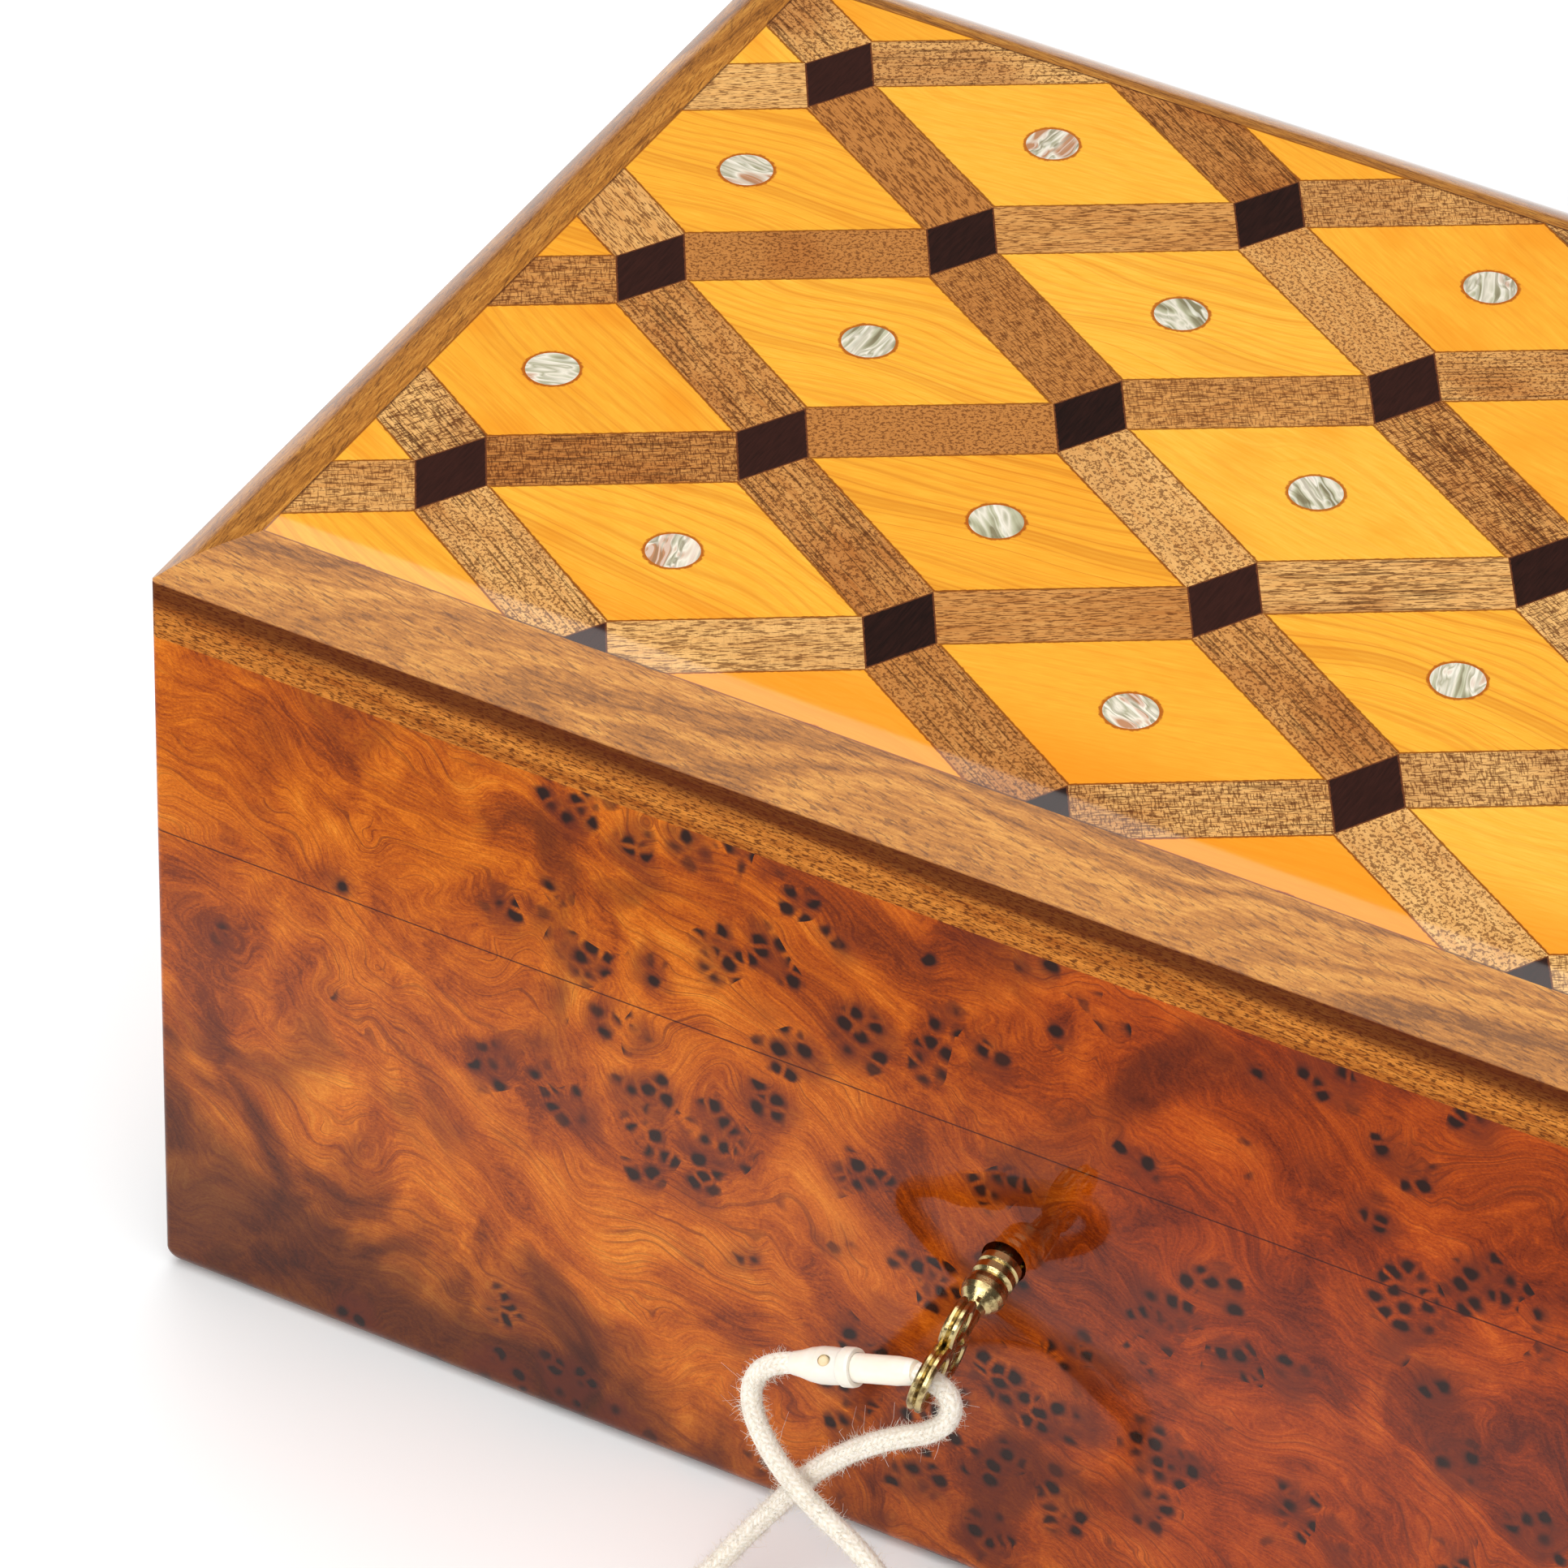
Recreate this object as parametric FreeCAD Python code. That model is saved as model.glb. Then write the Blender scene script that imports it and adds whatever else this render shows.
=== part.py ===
import FreeCAD, Part
import math
import os
from FreeCAD import Vector

# A lockable wooden keepsake box. Millimetres, +X to the right along the front, +Y to the back,
# +Z up, origin at the middle of the underside.

# Driving dimensions of the box
LENGTH = 250.0
WIDTH = 163.0
HEIGHT = 118.6
PARTING = 73.9          # height of the joint between case and lid
BURL_TOP = 105.0        # where the burl sides end and the walnut border begins
ARRIS = 113.5           # outer top edge of the walnut border
WALL = 12.0
BORDER = 10.3           # width of the walnut border
CROWN = 0.85            # how far the border's slope bulges above a straight line
FLOOR_TOP = 8.0
FELT = 1.2
CORNER_R = 1.0
FOOT_R = 3.0
HALF_L = LENGTH / 2
HALF_W = WIDTH / 2

# Marquetry lattice
INLAY = 1.2             # thickness of the inlaid pieces
STEP_X = 32.0
STEP_Y = 25.8
NODE_X = 24.5 - HALF_L  # first lattice column
NODE_Y = 32.6 - HALF_W  # first lattice row
BLOCK_X = 5.3           # half diagonals of an ebony block
BLOCK_Y = 9.0
DISC_R = 3.5
DISC_DEEP = 0.8
SMALLEST = 1.0          # clipped pieces under this volume are left out

# Hinges: the pin lies in a groove along the back edge of the joint
HINGE_Y = HALF_W - 3.2
HINGE_X = 70.0
HINGE_LEN = 26.0
KNUCKLE_R = 2.2
PIN_R = 0.9
PIN_FIT = 0.05
LEAF_T = 1.0
LEAF_IN = 70.5          # inner edge of a leaf
STOP_ANGLE = 50.0       # each chamfer of the groove, so the lid stops just past 98 degrees
SCREW_R = 0.9
SCREW_LEN = 8.0
HEAD_R = 1.8

# Key: its axis droops out of the keyhole
KEY_X = -2.2
KEY_Z = 54.8
DROOP = math.radians(12.0)
KEY_TILT = math.radians(12.0)
SHANK_R = 2.0
SHANK_IN = 10.6         # length of shank behind the front of the box
KEYHOLE_R = 3.1
BOW_T = 2.0
BOW_C = 13.5            # middle of the bow, measured along the key from the front of the box
SIDE_LOBE = (4.0, 3.5, 1.9)     # distance from the bow's middle, outer and hole radius
END_LOBE = (6.2, 4.6, 2.9)
BIT_DEEP = 8.2
BIT_R = 6.2
BIT_LEN = 3.4
BIT_T = 2.0

# Lock, let into the inside of the front wall
LOCK_HALF = 24.5
LOCK_Z0 = 40.5
LOCK_Y0 = -HALF_W + 4.0
LOCK_Y1 = -HALF_W + WALL
SHEET = 1.0
SELVEDGE_T = 1.5
BOLT_Y0 = -74.7
BOLT_Y1 = -72.3
BOLT_THROW = 7.0
STAPLES = (-10.0, 10.0)
STAPLE_T = 1.6
STAPLE_Z0 = 65.0

# Key cord with its snap connector
CORD_R = 1.4
CONNECTOR_START = Vector(-4.2, -100.7, 50.6)
CONNECTOR_DIR = Vector(-0.94, 0.0, -0.341)
CONNECTOR_LEN = 17.9
SOCKET_FROM = 8.6
PLUG_TO = 12.2
CORD_ROUTE = [
    (-4.2, -100.7, 50.6), (1.3, -100.9, 50.4), (1.2, -101.8, 44.2), (-8.2, -101.8, 38.4),
    (-16.5, -101.0, 29.8), (-22.3, -100.6, 20.5), (-29.0, -102.0, 9.5), (-34.0, -108.0, 1.4),
    (-30.0, -119.5, 1.4), (-19.0, -126.5, 1.4), (-4.5, -124.5, 1.4), (3.5, -115.5, 1.4),
    (1.8, -108.0, 12.5), (-6.8, -105.4, 21.5), (-15.8, -104.6, 25.8), (-22.5, -104.0, 31.5),
    (-26.6, -102.4, 37.6), (-25.4, -100.9, 42.9), (-21.026, -100.7, 44.496),
]


def save(name, shape):
    shape.exportStep("parts/" + name + ".step")


def box(x0, x1, y0, y1, z0, z1):
    return Part.makeBox(x1 - x0, y1 - y0, z1 - z0, Vector(x0, y0, z0))


def prism(points, z0, z1):
    corners = [Vector(x, y, z0) for x, y in points]
    face = Part.Face(Part.makePolygon(corners + corners[:1]))
    return face.extrude(Vector(0, 0, z1 - z0))


def rod(radius, start, axis, length):
    return Part.makeCylinder(radius, length, start, axis)


def join(shapes):
    whole = shapes[0]
    for shape in shapes[1:]:
        whole = whole.fuse(shape)
    return whole.removeSplitter()


# ---- casework ----

def side_prism(side, depth, z0, z1):
    """One side of a mitred frame as a prism with 45 degree ends."""
    a, b = HALF_L, HALF_W
    c, d = a - depth, b - depth
    outlines = {
        "front": [(-a, -b), (a, -b), (c, -d), (-c, -d)],
        "right": [(a, -b), (a, b), (c, d), (c, -d)],
        "back": [(a, b), (-a, b), (-c, d), (c, d)],
        "left": [(-a, b), (-a, -b), (-c, -d), (-c, d)],
    }
    return prism(outlines[side], z0, z1)


def rounded_block(z0, z1, round_foot):
    """The outer block of the case or lid, with eased upright corners and foot."""
    block = box(-HALF_L, HALF_L, -HALF_W, HALF_W, z0, z1)
    upright = [e for e in block.Edges if abs(e.Vertexes[0].Z - e.Vertexes[1].Z) > 1.0]
    block = block.makeFillet(CORNER_R, upright)
    if round_foot:
        foot = [e for e in block.Edges if all(abs(v.Z - z0) < 1e-6 for v in e.Vertexes)]
        block = block.makeFillet(FOOT_R, foot)
    return block


def stop_groove(sign):
    """Half of the V groove along the back of the joint: sign is -1 in the case, +1 in the lid."""
    out = HALF_W + 1.0
    rise = math.tan(math.radians(STOP_ANGLE)) * (out - HINGE_Y)
    corners = [Vector(-HALF_L - 1, HINGE_Y, PARTING), Vector(-HALF_L - 1, out, PARTING),
               Vector(-HALF_L - 1, out, PARTING + sign * rise)]
    face = Part.Face(Part.makePolygon(corners + corners[:1]))
    return face.extrude(Vector(LENGTH + 2, 0, 0))


def hinge_seat(x, sign):
    """The pocket for one hinge: a bed for the leaf and a trough for the knuckles."""
    half = HINGE_LEN / 2 + 0.1
    low, high = sorted((PARTING, PARTING + sign * LEAF_T))
    bed = box(x - half, x + half, LEAF_IN - 0.1, HINGE_Y, low, high)
    trough = rod(KNUCKLE_R + 0.4, Vector(x - half, HINGE_Y, PARTING), Vector(1, 0, 0), 2 * half)
    return bed.fuse(trough)


def screw(x, y, top, sign):
    """A small countersunk wood screw, head at the leaf's face; sign is the way its point goes."""
    axis = Vector(0, 0, sign)
    head = Part.makeCone(HEAD_R, SCREW_R, LEAF_T * 0.9, Vector(x, y, top), axis)
    shank = rod(SCREW_R, Vector(x, y, top + sign * LEAF_T * 0.9), axis, SCREW_LEN - 2.0)
    point = Part.makeCone(SCREW_R, 0.15, 2.0, Vector(x, y, top + sign * (LEAF_T * 0.9 + SCREW_LEN - 2)),
                          axis)
    return join([head, shank, point])


def with_slot(body, x, y, top, sign):
    depth = sorted((top, top + sign * 0.4))
    return body.cut(box(x - HEAD_R, x + HEAD_R, y - 0.25, y + 0.25, depth[0], depth[1]))


SCREW_DX = 8.5
SCREW_Y = 73.4


def hinge_screw_places():
    return [(hx + dx, SCREW_Y) for hx in (-HINGE_X, HINGE_X) for dx in (-SCREW_DX, SCREW_DX)]


def hinge_leaf(x, sign, knuckles, gaps):
    """A let-in brass leaf: its own knuckles stand on it and it is cut back round the other's."""
    half = HINGE_LEN / 2
    low, high = sorted((PARTING, PARTING + sign * LEAF_T))
    plate = box(x - half, x + half, LEAF_IN, HINGE_Y, low, high)
    along = Vector(1, 0, 0)
    for start, end in gaps:
        plate = plate.cut(rod(KNUCKLE_R + 0.3, Vector(x + start - 0.1, HINGE_Y, PARTING), along,
                              end - start + 0.2))
    for start, end in knuckles:
        plate = plate.fuse(rod(KNUCKLE_R, Vector(x + start, HINGE_Y, PARTING), along, end - start))
    hole = PIN_R if sign < 0 else PIN_R + PIN_FIT
    leaf = plate.cut(rod(hole, Vector(x - half - 1, HINGE_Y, PARTING), along, HINGE_LEN + 2))
    for dx in (-SCREW_DX, SCREW_DX):
        leaf = leaf.cut(screw(x + dx, SCREW_Y, PARTING, sign))
    return leaf.removeSplitter()


def make_hinges():
    third = HINGE_LEN / 6
    outer = [(-3 * third, -third - 0.1), (third + 0.1, 3 * third)]
    middle = [(-third + 0.1, third - 0.1)]
    for name, x in (("left", -HINGE_X), ("right", HINGE_X)):
        save("hinge_" + name + "_case_leaf", hinge_leaf(x, -1, outer, middle))
        save("hinge_" + name + "_lid_leaf", hinge_leaf(x, 1, middle, outer))
        save("hinge_" + name + "_pin", rod(PIN_R, Vector(x - 3 * third, HINGE_Y, PARTING),
                                           Vector(1, 0, 0), HINGE_LEN))
    for name, sign in (("hinge_case_screws", -1), ("hinge_lid_screws", 1)):
        screws = [with_slot(screw(x, y, PARTING, sign), x, y, PARTING, sign)
                  for x, y in hinge_screw_places()]
        save(name, Part.makeCompound(screws))


def hinge_cuts(wall, sign):
    wall = wall.cut(stop_groove(sign))
    for x in (-HINGE_X, HINGE_X):
        wall = wall.cut(hinge_seat(x, sign))
    for x, y in hinge_screw_places():
        wall = wall.cut(screw(x, y, PARTING, sign))
    return wall


def make_case():
    outer = rounded_block(0, PARTING, True)
    walls = {side: side_prism(side, WALL, 0, PARTING).common(outer)
             for side in ("front", "right", "back", "left")}
    walls["back"] = hinge_cuts(walls["back"], -1)
    for side in ("left", "right"):
        walls[side] = walls[side].cut(stop_groove(-1))
    pocket = box(KEY_X - LOCK_HALF, KEY_X + LOCK_HALF, LOCK_Y0, LOCK_Y1 + 1, LOCK_Z0, PARTING + 1)
    walls["front"] = walls["front"].cut(pocket).cut(selvedge_bed())
    walls["front"] = walls["front"].cut(keyhole(KEYHOLE_R, LOCK_Y0 + 1))
    for x, y in lock_screw_places():
        walls["front"] = walls["front"].cut(screw(x, y, PARTING, -1))
    for side, wall in walls.items():
        save(side + "_wall", wall)
    inner_l, inner_w = HALF_L - WALL, HALF_W - WALL
    save("bottom_panel", box(-inner_l, inner_l, -inner_w, inner_w, 0, FLOOR_TOP))
    felt = box(-inner_l + 0.3, inner_l - 0.3, -inner_w + 0.3, inner_w - 0.3, FLOOR_TOP,
               FLOOR_TOP + FELT)
    save("floor_felt", felt)


def make_lid():
    outer = rounded_block(PARTING, HEIGHT, False)
    for side in ("front", "right", "back", "left"):
        wall = side_prism(side, WALL, PARTING, BURL_TOP).common(outer)
        if side == "back":
            wall = hinge_cuts(wall, 1)
        elif side != "front":
            wall = wall.cut(stop_groove(1))
        else:
            wall = wall.cut(link_plate_bed())
            for x, y in link_screw_places():
                wall = wall.cut(screw(x, y, PARTING, 1))
        save("lid_" + side + "_wall", wall)
        save("lid_border_" + side, border_moulding(side).common(outer))
    in_l, in_w = HALF_L - BORDER, HALF_W - BORDER
    core = box(-in_l, in_l, -in_w, in_w, BURL_TOP, HEIGHT - INLAY)
    save("lid_core", core)


def border_moulding(side):
    """Walnut border: upright outer band, then a crowned slope up to the panel; mitred ends."""
    turns = {"front": 0, "right": 90, "back": 180, "left": 270}
    reach = HALF_W if side in ("front", "back") else HALF_L
    start = Vector(-HALF_L - 5, -reach, 0)

    def at(depth, z):
        return start + Vector(0, depth, z)

    middle = at(BORDER / 2, (ARRIS + HEIGHT) / 2 + CROWN)
    wire = Part.Wire([
        Part.LineSegment(at(0, BURL_TOP), at(0, ARRIS)).toShape(),
        Part.Arc(at(0, ARRIS), middle, at(BORDER, HEIGHT)).toShape(),
        Part.LineSegment(at(BORDER, HEIGHT), at(BORDER, BURL_TOP)).toShape(),
        Part.LineSegment(at(BORDER, BURL_TOP), at(0, BURL_TOP)).toShape(),
    ])
    bar = Part.Face(wire).extrude(Vector(LENGTH + 10, 0, 0))
    bar.rotate(Vector(0, 0, 0), Vector(0, 0, 1), turns[side])
    return bar.common(side_prism(side, BORDER, BURL_TOP, HEIGHT + 1))


# ---- marquetry ----

def lattice(parity):
    """Lattice points that reach the panel: parity 0 gives the blocks, 1 the tiles."""
    return [(NODE_X + STEP_X * i, NODE_Y + STEP_Y * k)
            for k in range(-1, 7) for i in range(-1, 9) if (i + k) % 2 == parity]


def panel_clip():
    in_l, in_w = HALF_L - BORDER, HALF_W - BORDER
    return box(-in_l, in_l, -in_w, in_w, HEIGHT - INLAY, HEIGHT)


def clipped(outlines, clip, holes=()):
    """Flat inlay pieces of the given outlines, cut off at the border."""
    pieces = []
    for outline in outlines:
        piece = prism(outline, HEIGHT - INLAY, HEIGHT).common(clip)
        for x, y in holes:
            if min(abs(x - p[0]) + abs(y - p[1]) for p in outline) < STEP_X:
                piece = piece.cut(rod(DISC_R, Vector(x, y, HEIGHT - DISC_DEEP), Vector(0, 0, 1), 5))
        pieces += [s for s in piece.Solids if s.Volume > SMALLEST]
    return Part.makeCompound(pieces)


def make_marquetry():
    clip = panel_clip()
    tile_x, tile_y = STEP_X - BLOCK_X, STEP_Y - BLOCK_Y
    tiles = lattice(1)
    blocks = lattice(0)
    edge_x, edge_y = HALF_L - BORDER - DISC_R, HALF_W - BORDER - DISC_R
    discs = [(x, y) for x, y in tiles if abs(x) < edge_x and abs(y) < edge_y]
    rhombs = [[(x - tile_x, y), (x, y - tile_y), (x + tile_x, y), (x, y + tile_y)] for x, y in tiles]
    save("inlay_tiles", clipped(rhombs, clip, discs))
    dark = [[(x - BLOCK_X, y), (x, y - BLOCK_Y), (x + BLOCK_X, y), (x, y + BLOCK_Y)]
            for x, y in blocks]
    save("inlay_blocks", clipped(dark, clip))
    for name, way in (("inlay_strips_rising", 1), ("inlay_strips_falling", -1)):
        strips = [[(x + BLOCK_X, y), (x + STEP_X, y + way * tile_y),
                   (x + tile_x, y + way * STEP_Y), (x, y + way * BLOCK_Y)] for x, y in blocks]
        left = [(NODE_X - STEP_X * 2, NODE_Y + STEP_Y * k) for k in range(-2, 7, 2)]
        strips += [[(x + BLOCK_X, y), (x + STEP_X, y + way * tile_y),
                    (x + tile_x, y + way * STEP_Y), (x, y + way * BLOCK_Y)] for x, y in left]
        save(name, clipped(strips, clip))
    pearls = [rod(DISC_R, Vector(x, y, HEIGHT - DISC_DEEP), Vector(0, 0, 1), DISC_DEEP)
              for x, y in discs]
    save("pearl_discs", Part.makeCompound(pearls))


# ---- lock ----

def key_axis():
    return Vector(0, -math.cos(DROOP), -math.sin(DROOP))


def on_key(distance):
    """A point on the key's axis, this far out from the front of the box."""
    return Vector(KEY_X, -HALF_W, KEY_Z) + key_axis() * distance


def keyhole(radius, inner_y):
    """The hole along the key's axis through the wood or the sheet, with a slot for the bit below."""
    hole = rod(radius, on_key(2.0), key_axis() * -1, 10.0)
    slot = box(KEY_X - BIT_T / 2 - 0.4, KEY_X + BIT_T / 2 + 0.4, -HALF_W - 1, LOCK_Y1 - 3,
               KEY_Z - BIT_R + 1.9, KEY_Z)
    reach = box(KEY_X - 10, KEY_X + 10, -HALF_W - 1, inner_y, KEY_Z - 15, KEY_Z + 15)
    return hole.fuse(slot).common(reach)


def lock_screw_places():
    y = (LOCK_Y0 + LOCK_Y1) / 2
    return [(KEY_X - 29.0, y), (KEY_X + 29.0, y)]


def link_screw_places():
    return [(KEY_X - 21.0, -75.2), (KEY_X, -75.2), (KEY_X + 21.0, -75.2)]


def link_plate_bed():
    return box(KEY_X - 25, KEY_X + 25, -79.2, -71.2, PARTING, PARTING + SELVEDGE_T)


def selvedge_bed():
    """The lock's top plate, let into the rim and wider than the lock to take its screws."""
    reach = LOCK_HALF + 9.0
    return box(KEY_X - reach, KEY_X + reach, LOCK_Y0, LOCK_Y1, PARTING - SELVEDGE_T, PARTING)


def staple_slots(y0, y1):
    slots = [box(KEY_X + s - STAPLE_T / 2 - 0.5, KEY_X + s + STAPLE_T / 2 + 0.5, y0, y1,
                 PARTING - 5, PARTING + 1) for s in STAPLES]
    return Part.makeCompound(slots)


def make_lock():
    x0, x1 = KEY_X - LOCK_HALF, KEY_X + LOCK_HALF
    top = PARTING - SELVEDGE_T
    shell = box(x0, x1, LOCK_Y0, LOCK_Y1 - SHEET, LOCK_Z0, top)
    room = box(x0 + SHEET, x1 - SHEET, LOCK_Y0 + SHEET, LOCK_Y1, LOCK_Z0 + SHEET, top + 1)
    case = shell.cut(room).cut(keyhole(KEYHOLE_R, LOCK_Y0 + SHEET + 0.5))
    save("lock_case", case)
    save("lock_cap", box(x0, x1, LOCK_Y1 - SHEET, LOCK_Y1, LOCK_Z0, top))
    selvedge = selvedge_bed().cut(staple_slots(LOCK_Y0 + SHEET, LOCK_Y1 - SHEET))
    for x, y in lock_screw_places():
        selvedge = selvedge.cut(screw(x, y, PARTING, -1))
    save("lock_selvedge", selvedge)
    save("lock_screws", Part.makeCompound([with_slot(screw(x, y, PARTING, -1), x, y, PARTING, -1)
                                           for x, y in lock_screw_places()]))
    make_bolt()
    make_link_plate()


BOLT_BAR = (45.3, 52.9)      # heights of the bar that the bit pushes
BOLT_WINDOW_TOP = 61.0
BOLT_RAIL_TOP = 64.5
FINGER = (66.9, 70.1)
TALON = (-3.0, 1.6, 48.4)    # sides and bottom of the notch for the bit


def make_bolt():
    """A sliding plate with a window for the shank, a notch for the bit and two fingers."""
    def slab(a, b, z0, z1):
        return box(KEY_X + a, KEY_X + b, BOLT_Y0, BOLT_Y1, z0, z1)

    plate = slab(-21.2, 9.5, BOLT_BAR[0], BOLT_RAIL_TOP)
    window = slab(-BOLT_THROW - SHANK_R - 0.9, SHANK_R + 0.9, BOLT_BAR[1], BOLT_WINDOW_TOP)
    notch = slab(TALON[0], TALON[1], TALON[2], BOLT_BAR[1] + 1)
    bolt = plate.cut(window).cut(notch)
    for s in STAPLES:
        post = slab(s - 11.2, s - 8.2, BOLT_RAIL_TOP - 0.5, FINGER[1])
        finger = slab(s - 8.2, s - 1.2, FINGER[0], FINGER[1])
        bolt = bolt.fuse(post).fuse(finger)
    save("bolt", bolt.removeSplitter())
    low = LOCK_Z0 + SHEET
    crest = BOLT_BAR[0] - 0.1
    half, y = 12.0, (BOLT_Y0 + BOLT_Y1) / 2
    lower = [Vector(KEY_X - half, y - 1, low), Vector(KEY_X, y - 1, crest - 0.4),
             Vector(KEY_X + half, y - 1, low)]
    upper = [Vector(KEY_X - half + 0.6, y - 1, low), Vector(KEY_X, y - 1, crest),
             Vector(KEY_X + half - 0.6, y - 1, low)]
    upper[0].x -= 1.1
    upper[2].x += 1.1
    wire = Part.Wire([
        Part.Arc(*lower).toShape(),
        Part.LineSegment(lower[2], upper[2]).toShape(),
        Part.Arc(*reversed(upper)).toShape(),
        Part.LineSegment(upper[0], lower[0]).toShape(),
    ])
    save("bolt_spring", Part.Face(wire).extrude(Vector(0, 2.0, 0)))


def make_link_plate():
    """The lid's plate with two staples that the bolt's fingers pass through."""
    y0, y1 = -79.2, -71.2
    plate = box(KEY_X - 25, KEY_X + 25, y0, y1, PARTING, PARTING + SELVEDGE_T)
    mid = (BOLT_Y0 + BOLT_Y1) / 2
    for s in STAPLES:
        loop = box(KEY_X + s - STAPLE_T / 2, KEY_X + s + STAPLE_T / 2, mid - 2.3, mid + 2.3,
                   STAPLE_Z0, PARTING + 0.5)
        eye = box(KEY_X + s - 2, KEY_X + s + 2, mid - 1.5, mid + 1.5, FINGER[0] - 0.5,
                  FINGER[1] + 0.5)
        plate = plate.fuse(loop.cut(eye))
    for x, y in link_screw_places():
        plate = plate.cut(screw(x, y, PARTING, 1))
    save("link_plate", plate.removeSplitter())
    save("link_plate_screws", Part.makeCompound([with_slot(screw(x, y, PARTING, 1), x, y, PARTING, 1)
                                                 for x, y in link_screw_places()]))


# ---- key ----

def lobe_ring(t, w, outer, hole):
    """A ring of the bow in the key's own frame, with a shallow groove round its rim."""
    half = BOW_T / 2
    outline = [(hole + 0.25, -half), (outer - 0.3, -half), (outer, -half + 0.3), (outer, -0.3),
               (outer - 0.35, 0.0), (outer, 0.3), (outer, half - 0.3), (outer - 0.3, half),
               (hole + 0.25, half), (hole, half - 0.3), (hole, -half + 0.3)]
    corners = [Vector(x, t, w + r) for r, x in outline]
    face = Part.Face(Part.makePolygon(corners + corners[:1]))
    return face.revolve(Vector(0, t, w), Vector(1, 0, 0), 360)


def make_key():
    """Built upright, X through the bow's thickness, Y towards its top, Z along the key."""
    profile = [(0, -SHANK_IN), (SHANK_R - 0.4, -SHANK_IN), (SHANK_R, 0.4 - SHANK_IN), (SHANK_R, 0.0), (2.5, 0.25),
               (2.8, 0.5), (2.8, 1.5), (2.45, 1.8), (2.8, 2.1), (2.8, 3.1), (2.4, 3.5), (2.75, 4.0),
               (2.95, 4.8), (2.9, 5.7), (2.6, 6.5), (2.0, 7.3), (1.5, 7.8), (1.3, 8.6),
               (1.3, BOW_C - 0.5), (0, BOW_C - 0.5)]
    corners = [Vector(r, 0, w) for r, w in profile]
    stem = Part.Face(Part.makePolygon(corners + corners[:1])).revolve(Vector(0, 0, 0),
                                                                    Vector(0, 0, 1), 360)
    dist, outer, hole = SIDE_LOBE
    rings = [lobe_ring(dist, BOW_C, outer, hole), lobe_ring(-dist, BOW_C, outer, hole)]
    rings.append(lobe_ring(0, BOW_C + END_LOBE[0], END_LOBE[1], END_LOBE[2]))
    bit = box(-BIT_T / 2, BIT_T / 2, -BIT_R, -0.5, -BIT_DEEP - BIT_LEN / 2, -BIT_DEEP + BIT_LEN / 2)
    bit = bit.cut(box(-BIT_T, BIT_T, -BIT_R - 1, -BIT_R + 1.4, -BIT_DEEP - 0.35, -BIT_DEEP + 0.35))
    key = join([stem] + rings + [bit])
    s, c = math.sin(KEY_TILT), math.cos(KEY_TILT)
    up = Vector(0, -math.sin(DROOP), math.cos(DROOP))
    side = Vector(1, 0, 0)
    n, t, a = side * c - up * s, side * s + up * c, key_axis()
    o = on_key(0.0)
    key.Placement = FreeCAD.Placement(FreeCAD.Matrix(n.x, t.x, a.x, o.x, n.y, t.y, a.y, o.y,
                                                     n.z, t.z, a.z, o.z, 0, 0, 0, 1))
    save("key", key)


# ---- cord ----

def tube_path(points):
    """Straight runs joined by tangent arcs, each as large as its two runs allow."""
    pts = [Vector(*p) for p in points]
    edges = []
    last = pts[0]
    radii = []
    for before, corner, after in zip(pts, pts[1:], pts[2:]):
        to_before, to_after = before - corner, after - corner
        shorter = min(to_before.Length, to_after.Length)
        half_turn = (math.pi - to_before.getAngle(to_after)) / 2
        reach = 0.45 * shorter
        radius = reach / math.tan(half_turn)
        radii.append(round(radius, 1))
        to_before.normalize()
        to_after.normalize()
        begin, end = corner + to_before * reach, corner + to_after * reach
        inward = to_before + to_after
        inward.normalize()
        middle = corner + inward * (radius / math.cos(half_turn) - radius)
        edges.append(Part.LineSegment(last, begin).toShape())
        edges.append(Part.Arc(begin, middle, end).toShape())
        last = end
    edges.append(Part.LineSegment(last, pts[-1]).toShape())
    print("cord arc radii", radii)
    return Part.Wire(edges)


def make_cord():
    path = tube_path(CORD_ROUTE)
    start = Vector(*CORD_ROUTE[0])
    ring = Part.Wire([Part.makeCircle(CORD_R, start, Vector(*CORD_ROUTE[1]) - start)])
    tube = path.makePipeShell([ring], True, False)
    print("cord length", round(path.Length, 1), "volume ratio",
          round(tube.Volume / (math.pi * CORD_R ** 2 * path.Length), 4))
    save("key_cord", tube)


def turned(profile):
    """A turned piece along the connector's axis, from (radius, distance) pairs."""
    corners = [Vector(r, 0, s) for r, s in profile]
    piece = Part.Face(Part.makePolygon(corners + corners[:1])).revolve(Vector(0, 0, 0),
                                                                     Vector(0, 0, 1), 360)
    piece.Placement = FreeCAD.Placement(CONNECTOR_START,
                                        FreeCAD.Rotation(Vector(0, 0, 1), CONNECTOR_DIR))
    return piece


def make_connector():
    plug = turned([(0, 0), (1.5, 0), (1.7, 0.8), (1.85, 2.5), (1.85, 9.5), (1.5, 10.2), (1.5, 11.4),
                   (1.0, PLUG_TO), (0, PLUG_TO)])
    save("cord_plug", plug)
    end = CONNECTOR_LEN
    socket = turned([(1.9, SOCKET_FROM), (2.45, SOCKET_FROM), (2.55, 9.0), (2.55, 10.2), (2.3, 10.6),
                     (2.4, 12.2), (2.4, 13.6), (2.15, 15.2), (1.75, 16.6), (1.5, end), (0, end),
                     (0, 14.4), (1.6, 14.0), (1.9, 13.0)])
    window = rod(0.8, Vector(0, 0, 0), Vector(0, 1, 0), 4.0)
    window.Placement = FreeCAD.Placement(CONNECTOR_START + CONNECTOR_DIR * 13.4,
                                         FreeCAD.Rotation(Vector(0, 1, 0), Vector(0.2, -0.5, 0.8)))
    save("cord_socket", socket.cut(window))


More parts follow.
